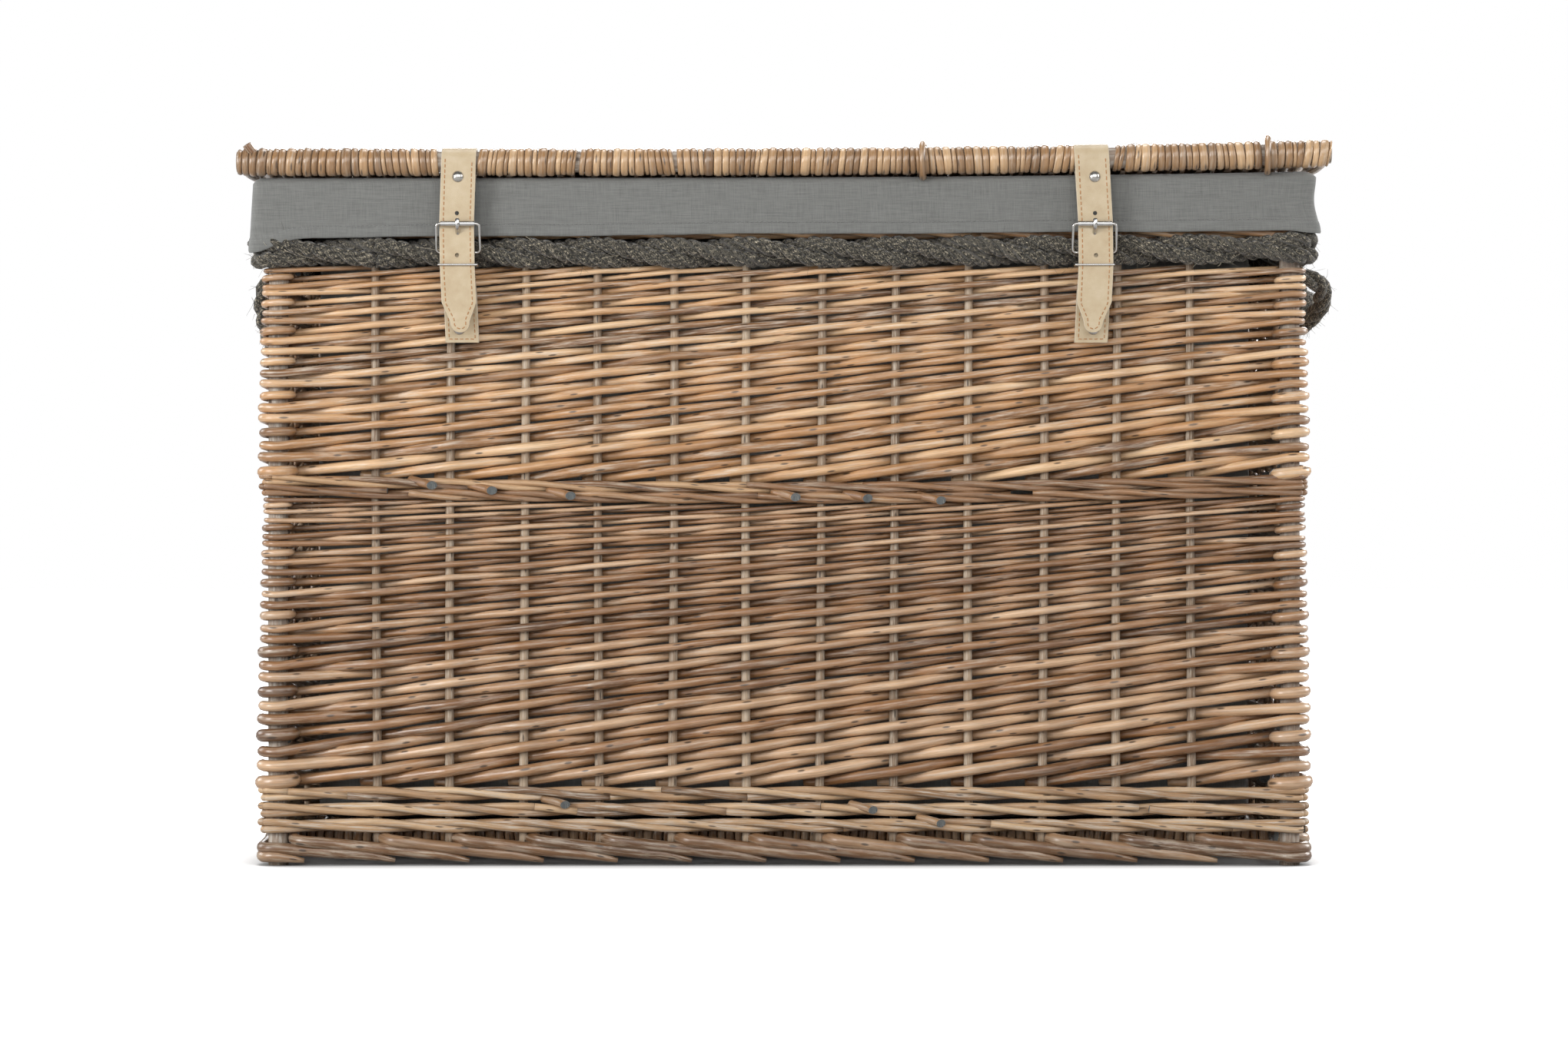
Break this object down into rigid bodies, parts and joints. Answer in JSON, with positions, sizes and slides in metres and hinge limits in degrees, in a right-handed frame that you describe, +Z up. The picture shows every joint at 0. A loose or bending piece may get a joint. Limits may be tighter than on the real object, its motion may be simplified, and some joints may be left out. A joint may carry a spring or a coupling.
{
  "type": "wicker storage trunk",
  "caption": "Rectangular woven willow trunk with a hinged lid, cloth liner, rope trim, rope end handles and two buckled leather straps.",
  "frame": {"origin": "middle of the trunk's footprint, on the floor that its four posts stand on", "axes": "+Z up, +X to the right along the front, the front with its two buckles faces -Y"},
  "size_m": [0.8703, 0.5503, 0.5386],
  "materials": {
    "willow_post": "antique-washed bark-less willow, satin",
    "willow_stake": "antique-washed willow, dull grey-white residue",
    "willow_weave": "antique-washed willow rods, satin",
    "willow_lid": "antique-washed willow rods, light varnish",
    "rope": "three-strand twisted rope, hairy, charcoal",
    "linen": "plain-woven linen, grey",
    "strap_leather": "cream leather, stitched edges",
    "buckle_metal": "plated wire, polished",
    "rivet_metal": "plated, domed"
  },
  "bodies": {
    "basket": {"corner_post_front_left": "willow_post", "corner_post_front_right": "willow_post", "corner_post_back_left": "willow_post", "corner_post_back_right": "willow_post", "stakes_front": "willow_stake", "stakes_back": "willow_stake", "stakes_left": "willow_stake", "stakes_right": "willow_stake", "weave_lower_front": "willow_weave", "weave_lower_back": "willow_weave", "weave_lower_left": "willow_weave", "weave_lower_right": "willow_weave", "weave_upper_front": "willow_weave", "weave_upper_back": "willow_weave", "weave_upper_left": "willow_weave", "weave_upper_right": "willow_weave", "foot_border": "willow_weave", "foot_wale": "willow_weave", "mid_wale": "willow_weave", "top_wale": "willow_weave", "rim_border": "willow_weave", "base_weave": "willow_weave", "base_edge_sticks": "willow_post", "base_inner_sticks": "willow_post", "rope_trim": "rope", "handle_anchor_left": "rope", "handle_anchor_right": "rope", "liner": "linen", "hinge_straps": "strap_leather", "lower_strap_left": "strap_leather", "lower_strap_right": "strap_leather", "hinge_rivets": "rivet_metal", "lower_strap_rivet_left": "rivet_metal", "lower_strap_rivet_right": "rivet_metal", "keeper_left": "buckle_metal", "keeper_right": "buckle_metal"},
    "lid": {"lid_front_stick": "willow_post", "lid_back_stick": "willow_post", "lid_inner_sticks": "willow_post", "lid_weave": "willow_lid", "lid_wraps_front": "willow_lid", "lid_wraps_back": "willow_lid", "lid_end_rods": "willow_lid"},
    "lid_strap_left": {"lid_strap_left": "strap_leather", "lid_strap_rivet_left": "rivet_metal"},
    "buckle_left": {"buckle_frame_left": "buckle_metal"},
    "roller_left": {"buckle_roller_left": "buckle_metal"},
    "prong_left": {"buckle_prong_left": "buckle_metal"},
    "rope_handle_left": {"rope_handle_left": "rope"},
    "lid_strap_right": {"lid_strap_right": "strap_leather", "lid_strap_rivet_right": "rivet_metal"},
    "buckle_right": {"buckle_frame_right": "buckle_metal"},
    "roller_right": {"buckle_roller_right": "buckle_metal"},
    "prong_right": {"buckle_prong_right": "buckle_metal"},
    "rope_handle_right": {"rope_handle_right": "rope"}
  },
  "joints": [
    {"name": "lid_hinge", "type": "hinge", "parent": "basket", "child": "lid", "pos_m": [0, 0.2605, 0.528], "axis": [-1, 0, 0], "range_deg": [0, 105], "deforming": ["lid_strap_left", "lid_strap_right"]},
    {"name": "lid_strap_left", "type": "hinge", "parent": "lid", "child": "lid_strap_left", "pos_m": [-0.2435, -0.2605, 0.528], "axis": [-1, 0, 0], "range_deg": [-82, 0], "deforming": ["lid_strap_left"]},
    {"name": "buckle_tilt_left", "type": "hinge", "parent": "basket", "child": "buckle_left", "pos_m": [-0.2435, -0.26515, 0.46], "axis": [1, 0, 0], "range_deg": [0, 12]},
    {"name": "roller_spin_left", "type": "hinge", "parent": "buckle_left", "child": "roller_left", "pos_m": [-0.2435, -0.27315, 0.481], "axis": [1, 0, 0], "continuous": true},
    {"name": "prong_lift_left", "type": "hinge", "parent": "buckle_left", "child": "prong_left", "pos_m": [-0.2435, -0.26515, 0.46], "axis": [1, 0, 0], "range_deg": [0, 20]},
    {"name": "handle_swing_left", "type": "hinge", "parent": "basket", "child": "rope_handle_left", "pos_m": [-0.393, 0, 0.453], "axis": [0, 1, 0], "range_deg": [0, 60], "deforming": ["rope_handle_left"]},
    {"name": "lid_strap_right", "type": "hinge", "parent": "lid", "child": "lid_strap_right", "pos_m": [0.232, -0.2605, 0.528], "axis": [-1, 0, 0], "range_deg": [-82, 0], "deforming": ["lid_strap_right"]},
    {"name": "buckle_tilt_right", "type": "hinge", "parent": "basket", "child": "buckle_right", "pos_m": [0.232, -0.26515, 0.46], "axis": [1, 0, 0], "range_deg": [0, 12]},
    {"name": "roller_spin_right", "type": "hinge", "parent": "buckle_right", "child": "roller_right", "pos_m": [0.232, -0.27315, 0.481], "axis": [1, 0, 0], "continuous": true},
    {"name": "prong_lift_right", "type": "hinge", "parent": "buckle_right", "child": "prong_right", "pos_m": [0.232, -0.26515, 0.46], "axis": [1, 0, 0], "range_deg": [0, 20]},
    {"name": "handle_swing_right", "type": "hinge", "parent": "basket", "child": "rope_handle_right", "pos_m": [0.393, 0, 0.453], "axis": [0, -1, 0], "range_deg": [0, 60], "deforming": ["rope_handle_right"]}
  ],
  "couplings": [
    {"joint": "lid_strap_left", "follows": "lid_hinge", "ratio": -0.78},
    {"joint": "lid_strap_right", "follows": "lid_hinge", "ratio": -0.78}
  ]
}
